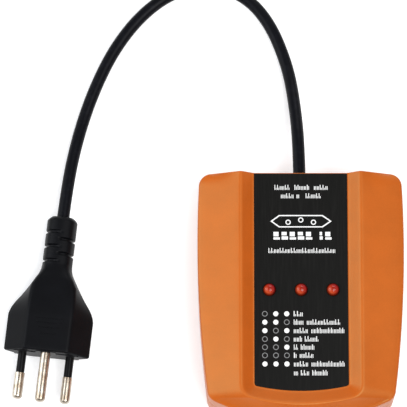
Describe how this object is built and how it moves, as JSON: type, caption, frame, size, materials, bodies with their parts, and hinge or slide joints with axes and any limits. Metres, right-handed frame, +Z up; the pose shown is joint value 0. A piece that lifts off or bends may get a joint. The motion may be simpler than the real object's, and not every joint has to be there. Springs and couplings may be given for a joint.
{
  "type": "outlet tester plug",
  "caption": "Hand-held mains outlet tester: a flat bulged case with indicator lamps and a recessed front label, on a short lead that ends in a moulded earthed plug.",
  "frame": {"origin": "centre of the case's back, on the surface it lies on, without the lead and plug", "axes": "+Z up out of the front label, +Y along the case towards the lead's exit, +X to the right seen from the front"},
  "size_m": [0.1586, 0.1858, 0.033],
  "materials": {
    "case_plastic": "satin moulded ABS, orange",
    "label_film": "satin black printed polyester film",
    "rating_film": "silver-grey polyester film",
    "screw_steel": "zinc-plated steel",
    "lamp_epoxy": "clear red epoxy, polished",
    "tinned_wire": "tinned copper wire",
    "board_laminate": "green solder mask on glass laminate",
    "resistor_lacquer": "blue-grey lacquer with colour bands",
    "diode_epoxy": "black moulded epoxy with a light band",
    "fusible_lacquer": "grey-green flameproof lacquer",
    "terminal_brass": "tinned brass",
    "black_pvc": "soft moulded PVC, black, fine matt texture",
    "clamp_nylon": "natural nylon",
    "cord_pvc": "black PVC jacket with a soft sheen",
    "core_brown": "brown PVC insulation",
    "core_blue": "blue PVC insulation",
    "core_green_yellow": "green-yellow PVC insulation",
    "carrier_plastic": "black glass-filled nylon",
    "pin_nickel": "nickel-plated brass",
    "sleeve_plastic": "black pin insulation"
  },
  "bodies": {
    "root": {"front_shell": "case_plastic", "rear_shell": "case_plastic", "front_label": "label_film", "rating_label": "rating_film", "case_screws": "screw_steel", "board_screws": "screw_steel", "clamp_screws": "screw_steel", "led_left": "lamp_epoxy", "led_centre": "lamp_epoxy", "led_right": "lamp_epoxy", "led_leads": "tinned_wire", "circuit_board": "board_laminate", "dropper_resistors": "resistor_lacquer", "rectifier_diodes": "diode_epoxy", "fusible_resistor": "fusible_lacquer", "board_terminals": "terminal_brass", "cord_grommet": "black_pvc", "cord_clamp": "clamp_nylon", "cord": "cord_pvc", "live_core": "core_brown", "neutral_core": "core_blue", "earth_core": "core_green_yellow", "plug_body": "black_pvc", "pin_carrier": "carrier_plastic", "live_pin": "pin_nickel", "neutral_pin": "pin_nickel", "earth_pin": "pin_nickel", "live_pin_sleeve": "sleeve_plastic", "neutral_pin_sleeve": "sleeve_plastic", "plug_live_core": "core_brown", "plug_neutral_core": "core_blue", "plug_earth_core": "core_green_yellow"}
  },
  "joints": []
}
